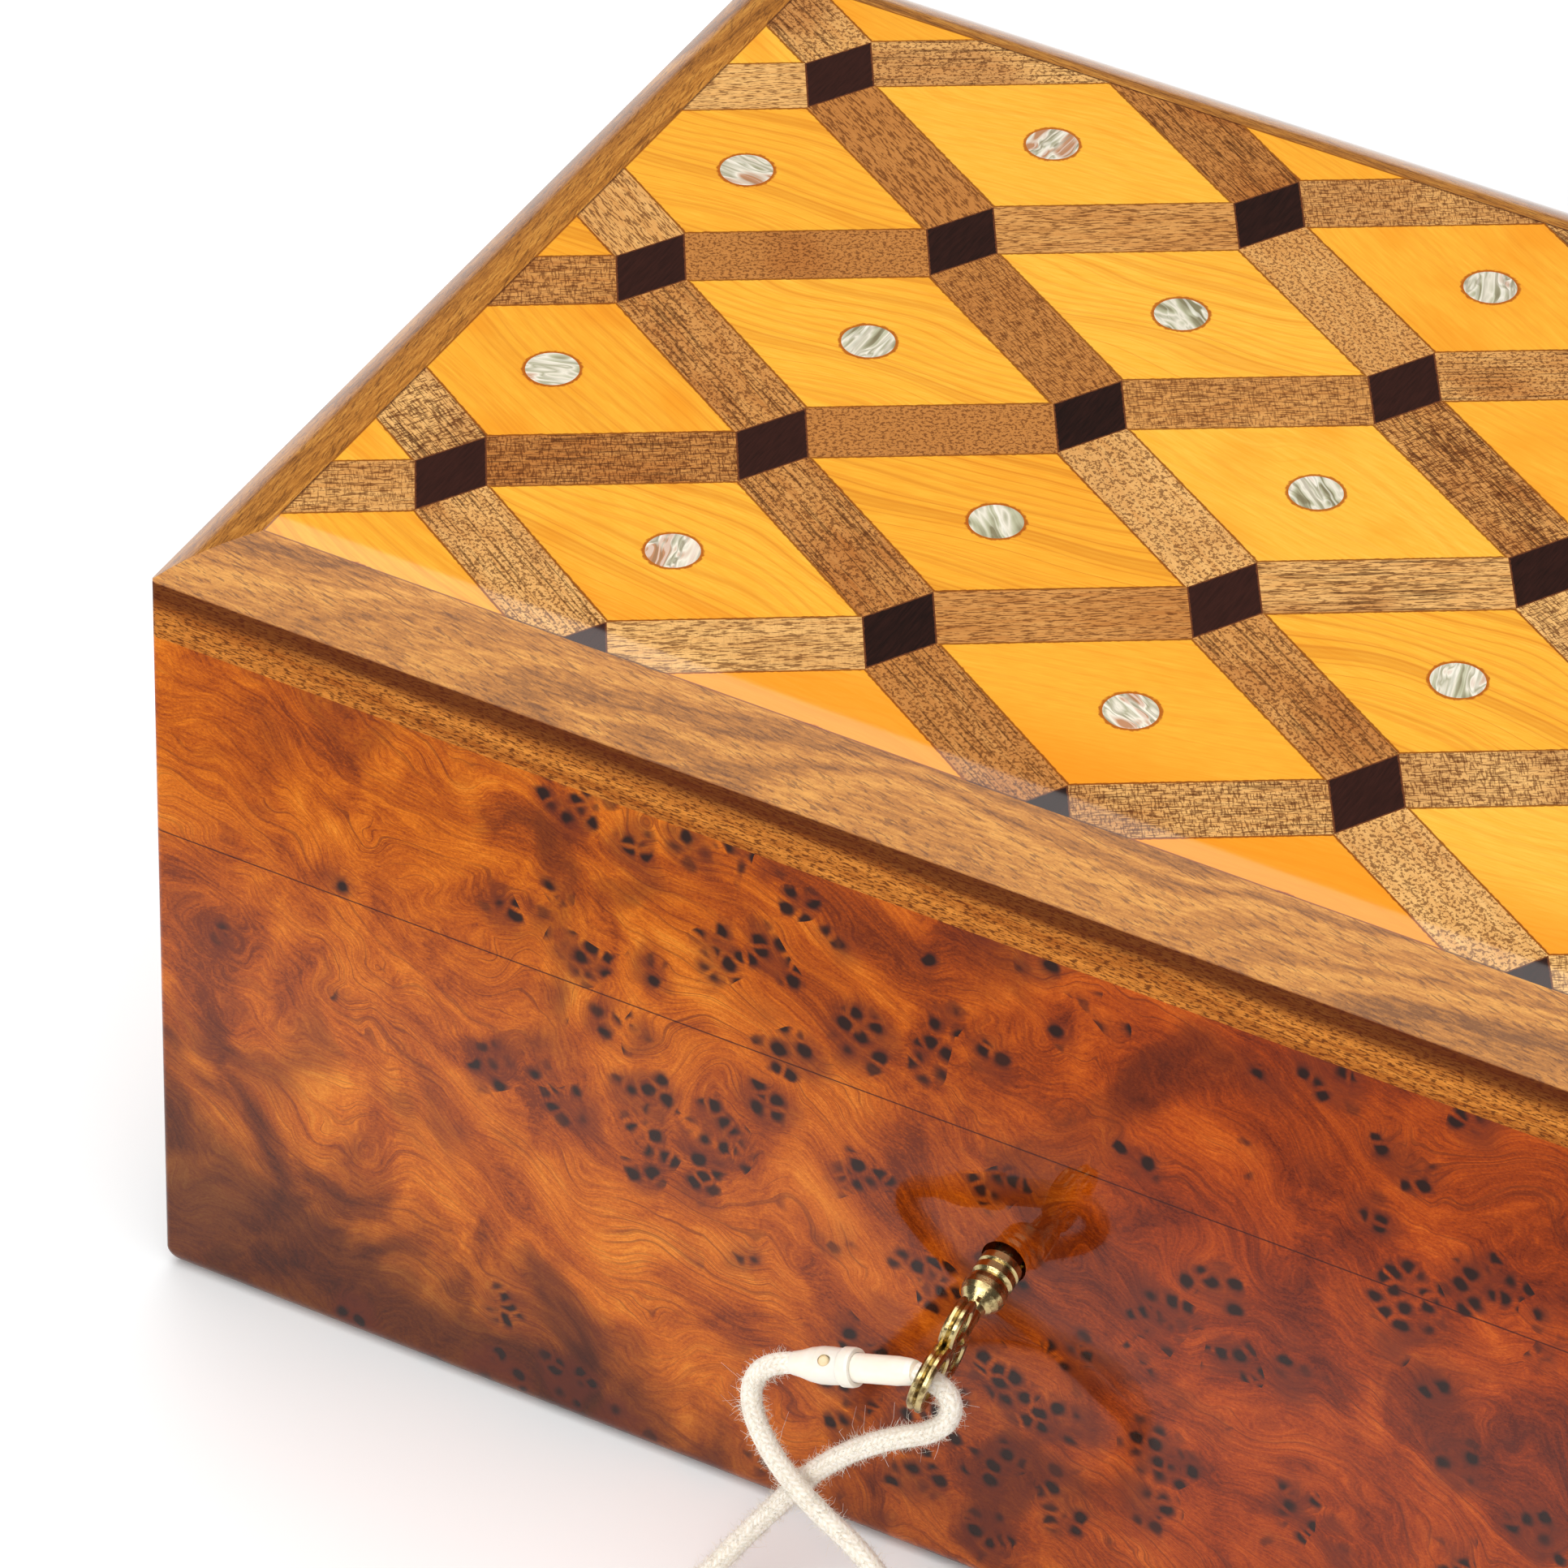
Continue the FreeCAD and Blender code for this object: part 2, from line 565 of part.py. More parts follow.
os.makedirs("parts", exist_ok=True)
make_case()
make_lid()
make_marquetry()
make_hinges()
make_lock()
make_key()
make_cord()
make_connector()
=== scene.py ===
import math

import bpy
import numpy as np
from mathutils import Euler, Matrix, Vector


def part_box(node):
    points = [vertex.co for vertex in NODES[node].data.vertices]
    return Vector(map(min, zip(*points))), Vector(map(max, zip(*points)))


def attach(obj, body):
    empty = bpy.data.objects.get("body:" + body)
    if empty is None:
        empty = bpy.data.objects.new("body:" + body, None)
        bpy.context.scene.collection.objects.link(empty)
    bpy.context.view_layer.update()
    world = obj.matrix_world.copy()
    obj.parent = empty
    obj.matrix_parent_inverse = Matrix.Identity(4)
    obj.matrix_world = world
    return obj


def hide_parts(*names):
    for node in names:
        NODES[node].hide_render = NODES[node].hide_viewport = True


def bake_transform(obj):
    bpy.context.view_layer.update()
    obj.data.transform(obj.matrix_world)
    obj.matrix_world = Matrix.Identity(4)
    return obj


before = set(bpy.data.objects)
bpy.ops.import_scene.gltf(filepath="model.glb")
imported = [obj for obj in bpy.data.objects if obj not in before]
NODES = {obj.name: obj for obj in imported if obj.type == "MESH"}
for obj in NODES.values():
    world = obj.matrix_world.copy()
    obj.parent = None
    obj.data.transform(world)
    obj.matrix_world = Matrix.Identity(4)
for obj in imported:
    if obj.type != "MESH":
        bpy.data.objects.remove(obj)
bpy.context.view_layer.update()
MM = 0.001


def corners(node):
    """The lowest and the highest corner of a node's box, in millimetres."""
    return [corner * 1000 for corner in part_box(node)]


# Places taken from the frame, in millimetres
BORDER_LOW, BORDER_HIGH = corners("lid_border_front")
HALF_L, HALF_W = BORDER_HIGH.x, -BORDER_LOW.y
PANEL_X, PANEL_Y = corners("lid_core")[1].xy
JOINT_Z = corners("front_wall")[1].z

# Height of the outer top edge of the walnut border, in millimetres
ARRIS_Z = 113.5

# Marquetry lattice, in millimetres: the same figures that lay out the inlay's solids.
# Blocks and tiles are rhombs, and their sizes are half diagonals.
STEP_X, STEP_Y = 32.0, 25.8
NODE_X, NODE_Y = -100.5, -48.9
BLOCK_X, BLOCK_Y = 5.3, 9.0
TILE_X, TILE_Y = STEP_X - BLOCK_X, STEP_Y - BLOCK_Y
DISC_R = 3.5

# Burl, in millimetres: the spacing of its clusters and of the eyes in them
CLUMP = 10.5
EYE = 2.75

# Clear polish over wood and pearl, as constants for the surface
POLISH = {"Coat_Weight": 1.0, "Coat_Roughness": 0.012, "Coat_IOR": 1.4, "Specular_IOR_Level": 0.0}

# Key cord, in millimetres: the same route as the cord's solid
CORD_R = 1.4
CORD_ROUTE = [
    (-4.2, -100.7, 50.6), (1.3, -100.9, 50.4), (1.2, -101.8, 44.2), (-8.2, -101.8, 38.4),
    (-16.5, -101.0, 29.8), (-22.3, -100.6, 20.5), (-29.0, -102.0, 9.5), (-34.0, -108.0, 1.4),
    (-30.0, -119.5, 1.4), (-19.0, -126.5, 1.4), (-4.5, -124.5, 1.4), (3.5, -115.5, 1.4),
    (1.8, -108.0, 12.5), (-6.8, -105.4, 21.5), (-15.8, -104.6, 25.8), (-22.5, -104.0, 31.5),
    (-26.6, -102.4, 37.6), (-25.4, -100.9, 42.9), (-21.026, -100.7, 44.496),
]

# Braid of the cord: lengths in millimetres; the furrows take up to this share of the radius
STITCH_COLUMNS = 10
STITCH_PITCH = 0.95
FURROW_SHARE = 0.07
RING_GAP = 0.17
RING_POINTS = 50
PATH_POINTS = 220

# Loose fibres of the cord: lengths in millimetres, drawn from a gamma distribution, with a few
# longer strays; each fibre is a wisp of a few rings
FIBRES = 16000
FIBRE_SEED = 11
FIBRE_SHAPE, FIBRE_SCALE = 2.4, 0.19
FIBRE_R = 0.036
FIBRE_CURL = (0.5, 1.3)
FIBRE_RINGS, FIBRE_SIDES = 3, 3
STRAY_SHARE = 0.003
STRAY_LENGTH = (1.5, 4.0)
FIBRE_LOWEST = 0.05

# Side hole of the connector's socket, in millimetres: how far along the connector it lies, how far
# from the middle the plug's tongue starts in it, and which way it looks. The tongue is a low dome,
# and its rise is a share of a ball's.
CONNECTOR_DIR = (-0.94, 0.0, -0.341)
HOLE_FROM, HOLE_DEPTH, HOLE_DIR = 13.4, 1.95, (0.2, -0.5, 0.8)
TONGUE_R = 0.79
TONGUE_RISE = 0.3

# Camera: place in metres, angles in degrees, lens and sensor in millimetres
CAMERA_PLACE = (0.3702, -0.8610, 0.8179)
CAMERA_HEADING, CAMERA_PITCH, CAMERA_ROLL = 27.463, 38.568, 1.789
CAMERA_LENS, CAMERA_SENSOR = 213.3, 36.0

# Lights: name, place, target, width and depth in metres, power in watts, colour
SOFTBOXES = [
    ("overhead_softbox", (-0.1, 0.1, 1.5), (-0.1, 0.1, 0.0), 2.2, 2.8, 40.0, (1.0, 0.995, 0.99)),
    ("front_softbox", (-0.1, -1.6, 1.0), (0.0, 0.0, 0.05), 1.4, 0.9, 17.0, (1.0, 0.985, 0.97)),
]
ROOM_COLOUR = (1.0, 0.99, 0.98, 1.0)
ROOM_STRENGTH = 0.12
TABLE_REACH = 6.0


# ---------------------------------------------------------------- shader expressions

class Wire:
    """A shader socket that can be used in ordinary arithmetic; each operator adds a Math node."""

    def __init__(self, shader, socket):
        self.shader = shader
        self.socket = socket

    def math(self, operation, *values):
        return self.shader.node("ShaderNodeMath", {"operation": operation}, dict(enumerate(values)))

    def __add__(self, other):
        return self.math("ADD", self, other)

    def __radd__(self, other):
        return self.math("ADD", other, self)

    def __sub__(self, other):
        return self.math("SUBTRACT", self, other)

    def __rsub__(self, other):
        return self.math("SUBTRACT", other, self)

    def __mul__(self, other):
        return self.math("MULTIPLY", self, other)

    def __rmul__(self, other):
        return self.math("MULTIPLY", other, self)

    def __truediv__(self, other):
        return self.math("DIVIDE", self, other)

    def __abs__(self):
        return self.math("ABSOLUTE", self)

    def floor(self):
        return self.math("FLOOR", self)

    def round(self):
        return self.math("ROUND", self)

    def sin(self):
        return self.math("SINE", self)

    def cos(self):
        return self.math("COSINE", self)

    def exp(self):
        return self.math("EXPONENT", self)

    def power(self, other):
        return self.math("POWER", self, other)

    def least(self, other):
        return self.math("MINIMUM", self, other)

    def most(self, other):
        return self.math("MAXIMUM", self, other)

    def step(self, start, end):
        """0 before start, 1 past end, smooth between; start may be the larger."""
        return self.shader.node("ShaderNodeMapRange", {"interpolation_type": "SMOOTHSTEP"},
                                {"Value": self, "From Min": start, "From Max": end})


class Shader:
    """Sizes and lengths are in millimetres."""

    def __init__(self, name):
        self.material = bpy.data.materials.new(name)
        self.material.use_nodes = True
        self.tree = self.material.node_tree
        self.tree.nodes.clear()
        output = self.tree.nodes.new("ShaderNodeOutputMaterial")
        self.surface = self.tree.nodes.new("ShaderNodeBsdfPrincipled")
        self.tree.links.new(self.surface.outputs[0], output.inputs[0])

    def put(self, socket, value):
        if isinstance(value, Wire):
            self.tree.links.new(value.socket, socket)
        else:
            socket.default_value = value

    def node(self, kind, settings=None, inputs=None, out=0):
        made = self.tree.nodes.new(kind)
        for name, value in (settings or {}).items():
            setattr(made, name, value)
        for name, value in (inputs or {}).items():
            self.put(made.inputs[name], value)
        return Wire(self, made.outputs[out])

    def place(self):
        """Object coordinates in millimetres."""
        return self.scale(self.node("ShaderNodeTexCoord", out="Object"), 1000.0)

    def split(self, vector):
        apart = self.tree.nodes.new("ShaderNodeSeparateXYZ")
        self.put(apart.inputs[0], vector)
        return [Wire(self, socket) for socket in apart.outputs]

    def join(self, x=0.0, y=0.0, z=0.0):
        return self.node("ShaderNodeCombineXYZ", None, {0: x, 1: y, 2: z})

    def scale(self, vector, by):
        return self.node("ShaderNodeVectorMath", {"operation": "SCALE"}, {0: vector, "Scale": by})

    def move(self, vector, offset):
        return self.node("ShaderNodeVectorMath", {"operation": "ADD"}, {0: vector, 1: offset})

    def stretch(self, vector, by):
        return self.node("ShaderNodeVectorMath", {"operation": "MULTIPLY"}, {0: vector, 1: by})

    def noise(self, vector, size, detail=2.0, rough=0.5, distortion=0.0, out=0):
        return self.node("ShaderNodeTexNoise", None,
                         {"Vector": vector, "Scale": 1.0 / size, "Detail": detail, "Roughness": rough,
                          "Distortion": distortion}, out)

    def streaks(self, x, y, z, detail=3.0, rough=0.6):
        """Noise 1 mm in size over numbers that come scaled: the smaller the scale, the longer the
        streaks in that direction."""
        return self.noise(self.join(x, y, z), 1.0, detail, rough)

    def rings(self, value, size, detail=2.0, rough=0.5):
        """Noise along one number, which draws lines where that number is level."""
        return self.node("ShaderNodeTexNoise", {"noise_dimensions": "1D"},
                         {"W": value, "Scale": 1.0 / size, "Detail": detail, "Roughness": rough})

    def thin_lines(self, value, size, width, detail=1.0, rough=0.5):
        """1 on thin lines where the noise along one number passes through its middle."""
        return abs(self.rings(value, size, detail, rough) - 0.5).step(width, 0.0)

    def cells(self, vector, size, out="Distance"):
        return self.node("ShaderNodeTexVoronoi", None, {"Vector": vector, "Scale": 1.0 / size}, out)

    def edges(self, vector, size):
        return self.node("ShaderNodeTexVoronoi", {"feature": "DISTANCE_TO_EDGE"},
                         {"Vector": vector, "Scale": 1.0 / size})

    def chance(self, vector):
        """A random number from 0 to 1, one for each value of the vector."""
        return self.node("ShaderNodeTexWhiteNoise", None, {"Vector": vector}, "Value")

    def warp(self, vector, size, reach, detail=2.0):
        """The vector pushed about by a colour noise of this size."""
        push = self.noise(vector, size, detail, out="Color")
        centred = self.move(push, (-0.5, -0.5, -0.5))
        return self.move(vector, self.scale(centred, reach * 2.0))

    def ramp(self, value, stops):
        """Colours by value: stops are pairs of a place on the ramp and a colour."""
        made = self.tree.nodes.new("ShaderNodeValToRGB")
        self.put(made.inputs[0], value)
        elements = made.color_ramp.elements
        elements.remove(elements[-1])
        for index, (place, colour) in enumerate(stops):
            stop = elements[0] if index == 0 else elements.new(place)
            stop.position = place
            stop.color = (*colour, 1.0)
        return Wire(self, made.outputs[0])

    def mix(self, share, under, over, blend="MIX"):
        """Two colours, which are wires or triples, mixed by a share of the second."""
        mixed = self.tree.nodes.new("ShaderNodeMix")
        mixed.data_type = "RGBA"
        mixed.blend_type = blend
        for index, value in ((0, share), (6, under), (7, over)):
            if isinstance(value, tuple):
                value = (*value, 1.0)
            self.put(mixed.inputs[index], value)
        return Wire(self, mixed.outputs[2])

    def bump(self, height, strength, distance):
        return self.node("ShaderNodeBump", None, {"Height": height, "Strength": strength,
                                                  "Distance": distance * MM})

    def finish(self, **sockets):
        """Puts each value on the surface's socket of that name and returns the material."""
        for name, value in sockets.items():
            socket = self.surface.inputs[name.replace("_", " ")]
            if isinstance(value, tuple) and socket.type == "RGBA":
                value = (*value, 1.0)
            self.put(socket, value)
        return self.material


def linear(red, green, blue):
    """A linear colour from display values of 0 to 255."""
    return tuple(((c / 255 + 0.055) / 1.055) ** 2.4 if c > 10 else c / 3295 for c in (red, green, blue))


def polished(s, colour, **changes):
    """A surface of this colour under clear polish; changes take the place of its constants."""
    return s.finish(**{"Base_Color": colour, "Roughness": 0.5, **POLISH, **changes})


# ---------------------------------------------------------------- burl

def burl_bend(s, vector):
    """The bend that makes the outlines of the clusters irregular."""
    return s.warp(vector, 9.0, 3.2, 1.0)


def burl_swirl(s, p):
    """The place after two swirls, and the height that the grain's lines are levels of. Each
    cluster of eyes lifts the height, so that the grain turns round the cluster."""
    swirled = s.warp(s.warp(p, 40.0, 19.0, 1.0), 13.0, 4.6, 2.0)
    sx, sy, sz = s.split(swirled)
    clump = s.cells(burl_bend(s, p), CLUMP) * CLUMP
    lift = (clump * clump * -0.05).exp() * 4.5
    return swirled, sz + sx * 0.4 + sy * 0.4 + lift


def burl_figure(s, p, swirled, height, broad):
    """Golden grain on the left that turns to red brown on the right."""
    x = s.split(p)[0]
    sx, sy = s.split(swirled)[:2]
    contour = s.rings(height, 3.0, 3.0, 0.6)
    fibre = s.streaks(height * 2.2, sx * 0.5, sy * 0.5, 4.0, 0.7)
    speck = s.noise(s.stretch(p, (0.6, 0.6, 1.0)), 0.30, 3.0, 0.75)
    tone = broad * 0.52 + contour * 0.16 + fibre * 0.31 + speck * 0.30 - 0.145
    golden = s.ramp(tone, [(0.36, linear(118, 46, 6)), (0.46, linear(170, 77, 8)),
                           (0.56, linear(206, 108, 15)), (0.68, linear(232, 144, 40))])
    red = s.ramp(tone, [(0.36, linear(88, 25, 4)), (0.47, linear(136, 47, 6)),
                        (0.57, linear(172, 68, 9)), (0.70, linear(208, 99, 22))])
    drift = s.noise(p, 60.0, 1.0)
    return s.mix(x.step(-90.0, 50.0) + drift * 0.6 - 0.3, golden, red)


def burl_eyes(s, p, colour):
    """Clusters of small dark eyes with brown rims, on a darker ground. The clusters are smaller
    at the left end, and some are too small to hold an eye."""
    x = s.split(p)[0]
    clumps = burl_bend(s, p)
    clump = s.cells(clumps, CLUMP) * CLUMP
    clump_edge = s.edges(clumps, CLUMP) * CLUMP
    clump_kind = s.split(s.cells(clumps, CLUMP, "Color"))[0]
    clump_reach = (clump_kind * 6.4 + 0.2) * (0.40 + 0.60 * x.step(-112.0, -40.0))

    eyes = s.warp(p, 2.4, 0.5, 1.0)
    eye = s.cells(eyes, EYE) * EYE
    eye_edge = s.edges(eyes, EYE) * EYE
    eye_kind = s.split(s.cells(eyes, EYE, "Color"))[1]
    eye_reach = eye_kind * 0.50 + 0.92
    eye_at = s.cells(eyes, EYE, "Position")
    eye_from_clump = s.cells(burl_bend(s, eye_at), CLUMP) * CLUMP
    within = (clump_reach - eye_from_clump).step(-0.2, 0.5)

    dark = (eye_reach - eye).least(eye_edge * 1.3 - 0.42).step(-0.26, 0.42) * within
    rim = (eye_reach - eye + 0.5).least(eye_edge * 1.6 - 0.6).step(-0.6, 0.5) * within
    halo = (clump_reach - clump + 0.6).least(clump_edge * 1.6 - 1.4).step(-1.4, 2.0)
    colour = s.mix(halo * clump_reach.step(0.8, 2.2) * 0.58, colour, linear(98, 36, 16))
    colour = s.mix(rim * 0.62, colour, linear(84, 32, 17))
    return s.mix(dark * 0.96, colour, linear(34, 18, 14))


def burl_wood():
    """Swirling burl with clusters of eyes. The pattern is solid, so it runs on across the joint and
    the corners. Painted shade darkens the foot of the front's left end, and the polish thins upwards."""
    s = Shader("burl_wood")
    p = s.place()
    x, y, z = s.split(p)
    swirled, height = burl_swirl(s, p)
    broad = s.noise(s.warp(swirled, 16.0, 7.0), 15.0, 2.0, 0.55)
    colour = burl_figure(s, p, swirled, height, broad)

    patch = s.noise(s.warp(swirled, 22.0, 10.0), 27.0, 2.0).step(0.52, 0.70)
    # Painted shade: darker and cooler towards the foot of the front's left end.
    from_corner = x * 0.30 + (y + 82.0).most(0.0) * 0.25 + 12.0
    painted_foot_shade = (z + from_corner + (broad - 0.5) * 44.0).step(20.0, -4.0)
    colour = s.mix(patch * 0.66, colour, linear(74, 25, 9))
    colour = s.mix(painted_foot_shade, colour, linear(134, 130, 170), "MULTIPLY")

    lined = s.noise(p, 15.0, 1.0).step(0.40, 0.58)
    line = s.thin_lines(height, 1.9, 0.024, 2.0, 0.55)
    hair = s.thin_lines(height + 30.0, 1.0, 0.045)
    colour = s.mix(line * lined * 0.54, colour, linear(88, 32, 12))
    colour = s.mix(hair * (1 - lined * 0.5) * 0.26, colour, linear(88, 32, 12))
    colour = burl_eyes(s, p, colour)

    outside = (abs(x) - HALF_L).most(abs(y) - HALF_W).step(-0.25, -0.1)
    joint = abs(z - JOINT_Z).step(0.16, 0.07) * outside
    colour = s.mix(joint * 0.85, colour, linear(52, 16, 8))
    return polished(s, colour, Coat_Weight=0.86 - z.step(48.0, 92.0) * 0.56)


# ---------------------------------------------------------------- walnut

def walnut_border(along):
    """Straight-grained walnut along X or Y: a slope with growth bands and long pores, and an
    upright face with short pores and painted shade under its arris."""
    s = Shader("walnut_border_" + along)
    x, y, z = s.split(s.place())
    run, across = (x, y) if along == "x" else (y, x)
    wander = s.noise(s.join(run * 0.5, across, z), 30.0, 2.0) * 11.0
    band = s.rings(abs(across) * 0.7 + z * 0.7 + wander + run * 0.05, 2.2, 3.0, 0.6)
    grain = s.streaks(run * 0.30, across * 2.6, z * 2.6, 3.0, 0.65)
    slope_pore = s.streaks(run * 0.24, across * 3.6 + run * 0.90, z * 3.6).step(0.54, 0.63)
    face_pore = s.streaks(run * 0.9, across * 4.0, z * 3.6, 2.0).step(0.48, 0.60)
    speck = s.noise(s.join(x, y, z), 0.3, 2.0, 0.7)
    tone = band * 0.45 + grain * 0.42 + speck * 0.13

    slope = s.ramp(tone, [(0.38, linear(120, 72, 26)), (0.5, linear(174, 111, 42)),
                          (0.62, linear(208, 146, 64))])
    slope = s.mix(slope_pore * 0.60, slope, linear(88, 46, 16))
    face = s.ramp(tone, [(0.38, linear(150, 78, 22)), (0.62, linear(216, 138, 56))])
    face = s.mix(face_pore * 0.84, face, linear(84, 36, 10))

    upright = z.step(ARRIS_Z + 0.15, ARRIS_Z - 0.1)
    colour = s.mix(upright, slope, face)
    # Painted shade: a dark band on the upright face just under the arris, ragged with the grain.
    ragged_z = z + (grain - 0.5) * 3.0
    painted_arris_shade = ragged_z.step(ARRIS_Z - 4.8, ARRIS_Z - 2.0) * upright
    colour = s.mix(painted_arris_shade * 0.86, colour, linear(76, 26, 5))
    return polished(s, colour, Coat_Weight=1.0 - upright * 0.85)


# ---------------------------------------------------------------- inlay

def lattice_place(s):
    """x and y in millimetres, and the turned lattice numbers u and v. Both are whole and even at
    the middle of a block, and whole and odd at the middle of a tile."""
    x, y = s.split(s.place())[:2]
    i = (x - NODE_X) / STEP_X
    k = (y - NODE_Y) / STEP_Y
    return x, y, i + k, i - k


def from_middle(x, y, u, v):
    """x and y measured from the piece whose middle has these lattice numbers."""
    dx = x - ((u + v) * (STEP_X / 2) + NODE_X)
    dy = y - ((u - v) * (STEP_Y / 2) + NODE_Y)
    return dx, dy


def inside_rhomb(dx, dy, half_x, half_y):
    """How far in from its edge a place in a rhomb lies."""
    return (1 - abs(dx) / half_x - abs(dy) / half_y) * (half_x * half_y / math.hypot(half_x, half_y))


def turned(x, y, angle):
    """x and y turned by an angle that is a wire."""
    return x * angle.cos() - y * angle.sin(), x * angle.sin() + y * angle.cos()


def border_line(x, y, width):
    """1 in a thin line along the edge of the panel."""
    inside = (PANEL_X - abs(x)).least(PANEL_Y - abs(y))
    return inside.step(width, width * 0.4)


def lemonwood_tile():
    """Yellow tiles: each has its own tone and grain angle, a thin glue line at its edge and a
    brown ring of glue round its disc."""
    s = Shader("lemonwood_tile")
    x, y, u, v = lattice_place(s)
    tile_u, tile_v = (u / 2).floor(), (v / 2).floor()
    cell = s.join(tile_u, tile_v, 3.0)
    kind = s.chance(cell)
    other = s.chance(s.move(cell, (7.0, 5.0, 1.0)))
    third = s.chance(s.move(cell, (1.0, 8.0, 9.0)))
    dx, dy = from_middle(x, y, tile_u * 2 + 1, tile_v * 2 + 1)
    a, b = turned(dx, dy, (kind - 0.5) * 0.9 + 0.15)

    bend = s.noise(s.join(a * 0.5, b, kind * 90.0), 22.0, 1.0) * (6.0 + 26.0 * other)
    level = b + bend
    band = s.rings(level, 1.2, 2.0, 0.5)
    silk = s.streaks(a * 0.25, b * 2.5, kind * 30.0, 2.0)
    tone = band * 0.12 + silk * 0.38 + other * 0.30 + 0.07
    colour = s.ramp(tone, [(0.26, linear(225, 148, 38)), (0.48, linear(235, 167, 52)),
                           (0.68, linear(241, 183, 70))])
    flame = s.noise(s.join(a * 0.6, b, kind * 40.0), 11.0, 2.0).step(0.50, 0.74)
    colour = s.mix(flame * (0.1 + 0.5 * kind), colour, linear(226, 136, 26))
    fine = s.thin_lines(level, 1.9, 0.030)
    bold = s.thin_lines(level + 40.0, 5.0, 0.030)
    colour = s.mix(fine * (0.12 + third * 0.20), colour, linear(200, 116, 30))
    colour = s.mix(bold * third.step(0.45, 0.9) * 0.34, colour, linear(176, 92, 20))

    amber_right = x.step(10.0, 130.0) * y.step(20.0, -90.0) * 0.4
    amber_front = y.step(-50.0, -64.0) * x.step(-95.0, -45.0) * 0.62
    colour = s.mix(amber_right.most(amber_front), colour, linear(228, 128, 16))

    ragged = s.noise(s.join(x, y), 0.7, 2.0) * 0.35
    glue = (inside_rhomb(dx, dy, TILE_X, TILE_Y) - ragged).step(0.22, 0.04)
    from_disc = (dx * dx + dy * dy).power(0.5)
    ring = (from_disc - ragged * 2.0).step(DISC_R + 0.22, DISC_R - 0.08)
    colour = s.mix(ring * 0.8, colour, linear(150, 62, 14))
    colour = s.mix(glue.most(border_line(x, y, 0.35)) * 0.85, colour, linear(112, 50, 16))
    return polished(s, colour)


def strip_wood(way):
    """Brown strips running up (way 1) or down (way -1) to the right. Tone and marks change from
    strip to strip: long dashes, dashes crossed by short ones, or dots."""
    s = Shader("strip_wood_" + ("rising" if way > 0 else "falling"))
    x, y, u, v = lattice_place(s)
    if way > 0:
        cell = s.join((u / 2).floor(), (v / 2).round(), 1.0)
    else:
        cell = s.join((u / 2).round(), (v / 2).floor(), 2.0)
    kind = s.chance(cell)
    other = s.chance(s.move(cell, (3.0, 9.0, 4.0)))
    third = s.chance(s.move(cell, (13.0, 2.0, 8.0)))
    edge = math.hypot(TILE_X, TILE_Y)
    run_x, run_y = TILE_X / edge, way * TILE_Y / edge
    run = x * run_x + y * run_y
    across = y * run_x - x * run_y
    shift = kind * 200.0

    def marks(along, over, offset, start, end, rough=0.6):
        """Marks on the strip: the scales along and over it set their shape, start and end how
        many there are."""
        return s.streaks(run * along, across * over, shift + offset, 2.0, rough).step(start, end)

    dash = marks(0.62, 4.0, 0.0, 0.50, 0.58)
    cross = marks(3.8, 0.72, 9.0, 0.51, 0.58)
    dots = marks(1.9, 2.2, 30.0, 0.49, 0.58, 0.7)
    vein = marks(0.10, 2.6, 50.0, 0.53, 0.64)
    wash = s.noise(s.join(run * 0.5, across * 0.5, shift + 70), 9.0, 2.0).step(0.46, 0.66)
    grain = s.streaks(run * 0.14, across * 1.3, shift, 3.0, 0.65)
    colour = s.ramp(grain * 0.56 + other * 0.62 - 0.08,
                    [(0.26, linear(182, 120, 60)), (0.48, linear(206, 148, 82)),
                     (0.72, linear(226, 176, 108))])
    colour = s.mix(wash * third * 0.55, colour, linear(150, 78, 26))

    dotted = kind.step(0.64, 0.66)
    crossed = kind.step(0.10, 0.26) * (1 - dotted)
    dark = linear(88, 42, 14)
    colour = s.mix(dash * (1 - dotted) * 0.74, colour, dark)
    colour = s.mix(cross * crossed * (0.40 + third * 0.40), colour, dark)
    colour = s.mix(dots * dotted * 0.72, colour, dark)
    colour = s.mix(vein * (third.step(0.55, 0.75) * 0.6 + 0.08), colour, linear(66, 32, 12))
    colour = s.mix(border_line(x, y, 0.4) * 0.8, colour, linear(70, 30, 12))
    return polished(s, colour)


def ebony_block():
    """Nearly black blocks with faint straight grain and a thin glue line at the edge."""
    s = Shader("ebony_block")
    x, y, u, v = lattice_place(s)
    block_u, block_v = (u / 2).round(), (v / 2).round()
    kind = s.chance(s.join(block_u, block_v, 6.0))
    dx, dy = from_middle(x, y, block_u * 2, block_v * 2)
    grain = s.streaks(x * 3.2, y * 0.25, kind * 60, 3.0, 0.7)
    colour = s.ramp(grain * 0.7 + kind * 0.3, [(0.3, linear(26, 13, 10)), (0.7, linear(52, 26, 20))])
    ragged = s.noise(s.join(x, y), 0.6, 2.0) * 0.3
    glue = (inside_rhomb(dx, dy, BLOCK_X, BLOCK_Y) - ragged).step(0.12, 0.0)
    colour = s.mix(glue * 0.6, colour, linear(120, 66, 34))
    return polished(s, colour)


